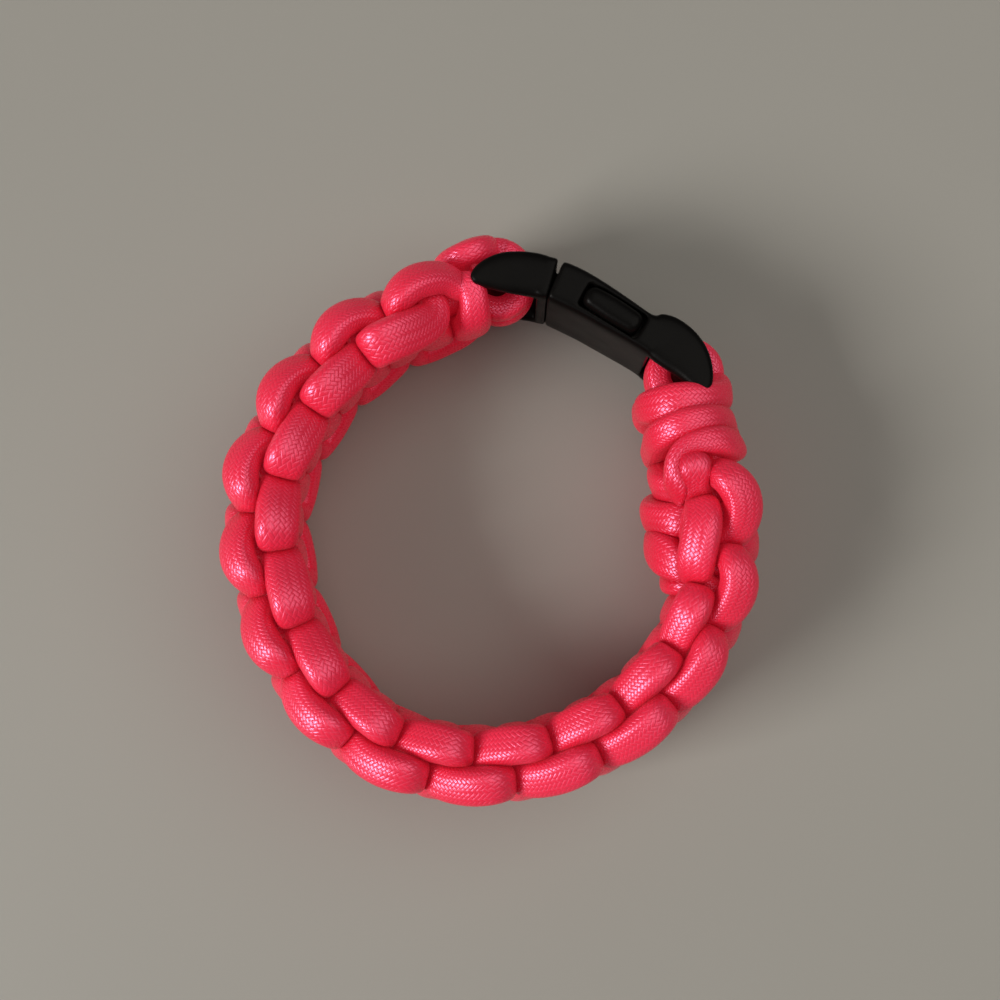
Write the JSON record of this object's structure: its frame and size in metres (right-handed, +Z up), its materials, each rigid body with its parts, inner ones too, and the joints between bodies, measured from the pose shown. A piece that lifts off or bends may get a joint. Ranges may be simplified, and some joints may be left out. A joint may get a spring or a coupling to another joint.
{
  "type": "paracord bracelet",
  "caption": "Child's neon coral paracord bracelet in a square-knot weave, fastened by a black curved side-release buckle.",
  "frame": {"origin": "middle of the wrist loop, on the surface that the lower edge rests on", "axes": "+Z up through the wrist opening, +Y towards the buckle's side as seen from above, +X to the right of it"},
  "size_m": [0.0622, 0.064, 0.0212],
  "materials": {
    "buckle": "moulded black plastic with a fine matte grain",
    "cord": "braided neon coral nylon sheath with a slight sheen"
  },
  "bodies": {
    "root": {"buckle_stem": "buckle", "buckle_socket": "buckle", "core_cord": "cord", "outer_strand": "cord", "inner_strand": "cord"}
  },
  "joints": []
}
